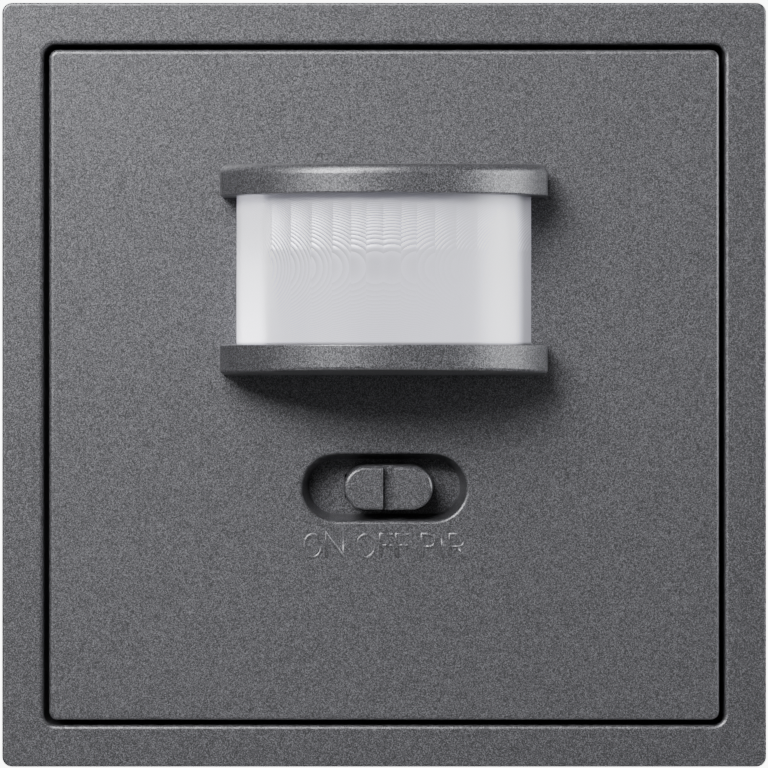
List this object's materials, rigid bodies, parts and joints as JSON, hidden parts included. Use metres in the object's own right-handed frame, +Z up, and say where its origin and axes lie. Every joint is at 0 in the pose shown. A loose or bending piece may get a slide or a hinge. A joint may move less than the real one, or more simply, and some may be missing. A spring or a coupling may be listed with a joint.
{
  "type": "motion sensor light switch",
  "caption": "Square flush wall switch with a hooded motion sensor, a slide selector, a plug-on front and a clawed insert for a round wall box.",
  "frame": {"origin": "centre of the wall box screw pattern, on the back face of the support ring, which is the wall face", "axes": "+Z up the wall, +Y into the wall, +X to the right for a viewer who faces the switch; the front looks along -Y"},
  "size_m": [0.081, 0.061, 0.081],
  "materials": {
    "metallic_lacquer": "satin anthracite metallic lacquer with fine flakes",
    "milky_plastic": "milky, lets heat radiation through",
    "black_plastic": "fine moulded grain",
    "white_plastic": "moulded",
    "grey_plastic": "moulded",
    "blue_plastic": "moulded",
    "clear_plastic": "clear cast",
    "circuit_board": "solder mask",
    "nickel_can": "drawn and nickel plated",
    "zinc_plated_steel": "zinc plated",
    "sheet_steel": "stamped and zinc plated",
    "contact_brass": "tinned or plain brass",
    "capacitor_sleeve": "shrunk sleeve",
    "film_case": "potted case",
    "ferrite": "wound ferrite core",
    "fuse_tube": "glazed tube with end caps"
  },
  "bodies": {
    "switch_unit": {"frame": "metallic_lacquer", "cover_plate": "metallic_lacquer", "fresnel_lens": "milky_plastic", "lens_retainer": "black_plastic", "slide_switch_body": "black_plastic", "control_board": "circuit_board", "board_screws": "zinc_plated_steel", "sensor_holder": "black_plastic", "pyro_sensor_left": "nickel_can", "pyro_sensor_right": "nickel_can", "indicator_led": "clear_plastic", "light_sensor": "black_plastic", "control_chip": "black_plastic", "smoothing_capacitor": "capacitor_sleeve", "pin_header": "black_plastic", "plug_pins": "contact_brass", "rear_shell": "black_plastic", "brightness_trimmer": "blue_plastic", "time_trimmer": "blue_plastic", "range_trimmer": "blue_plastic", "support_ring": "sheet_steel", "ring_screws": "zinc_plated_steel", "insert_lid": "grey_plastic", "insert_housing": "grey_plastic", "insert_base": "grey_plastic", "socket_block": "black_plastic", "socket_contacts": "contact_brass", "power_board": "circuit_board", "relay": "white_plastic", "film_capacitor": "film_case", "choke": "ferrite", "varistor": "blue_plastic", "fuse": "fuse_tube", "terminal_clamps": "contact_brass", "terminal_screws": "zinc_plated_steel", "claw_pins": "zinc_plated_steel"},
    "slider": {"slider_knob": "metallic_lacquer", "slide_switch_actuator": "white_plastic"},
    "brightness_control": {"brightness_dial": "white_plastic"},
    "time_control": {"time_dial": "white_plastic"},
    "range_control": {"range_dial": "white_plastic"},
    "spreader_top": {"claw_top": "sheet_steel"},
    "spreader_bottom": {"claw_bottom": "sheet_steel"},
    "nut_top": {"claw_nut_top": "zinc_plated_steel"},
    "nut_bottom": {"claw_nut_bottom": "zinc_plated_steel"},
    "screw_top": {"claw_screw_top": "zinc_plated_steel"},
    "screw_bottom": {"claw_screw_bottom": "zinc_plated_steel"}
  },
  "joints": [
    {"name": "slider_travel", "type": "slide", "parent": "switch_unit", "child": "slider", "axis": [1, 0, 0], "range_m": [-0.00345, 0.00255]},
    {"name": "brightness_setting", "type": "hinge", "parent": "switch_unit", "child": "brightness_control", "pos_m": [-0.013, 0.0012, 0.0085], "axis": [0, 1, 0], "range_deg": [-135, 135]},
    {"name": "time_setting", "type": "hinge", "parent": "switch_unit", "child": "time_control", "pos_m": [0, 0.0012, 0.0085], "axis": [0, 1, 0], "range_deg": [-135, 135]},
    {"name": "range_setting", "type": "hinge", "parent": "switch_unit", "child": "range_control", "pos_m": [0.013, 0.0012, 0.0085], "axis": [0, 1, 0], "range_deg": [-135, 135]},
    {"name": "claw_top_swing", "type": "hinge", "parent": "switch_unit", "child": "spreader_top", "pos_m": [0, 0.005, 0.0213], "axis": [1, 0, 0], "range_deg": [0, 20]},
    {"name": "claw_nut_top_travel", "type": "slide", "parent": "switch_unit", "child": "nut_top", "axis": [0, -1, 0], "range_m": [0, 0.0013]},
    {"name": "claw_screw_top_turn", "type": "hinge", "parent": "switch_unit", "child": "screw_top", "pos_m": [0, 0.005, 0.0255], "axis": [0, 1, 0], "range_deg": [0, 937]},
    {"name": "claw_bottom_swing", "type": "hinge", "parent": "switch_unit", "child": "spreader_bottom", "pos_m": [0, 0.005, -0.0213], "axis": [-1, 0, 0], "range_deg": [0, 20]},
    {"name": "claw_nut_bottom_travel", "type": "slide", "parent": "switch_unit", "child": "nut_bottom", "axis": [0, -1, 0], "range_m": [0, 0.0013]},
    {"name": "claw_screw_bottom_turn", "type": "hinge", "parent": "switch_unit", "child": "screw_bottom", "pos_m": [0, 0.005, -0.0255], "axis": [0, 1, 0], "range_deg": [0, 937]}
  ],
  "couplings": [
    {"joint": "claw_top_swing", "follows": "claw_nut_top_travel", "rad_per_m": 266.81},
    {"joint": "claw_screw_top_turn", "follows": "claw_nut_top_travel", "rad_per_m": 12566},
    {"joint": "claw_bottom_swing", "follows": "claw_nut_bottom_travel", "rad_per_m": 266.81},
    {"joint": "claw_screw_bottom_turn", "follows": "claw_nut_bottom_travel", "rad_per_m": 12566}
  ]
}
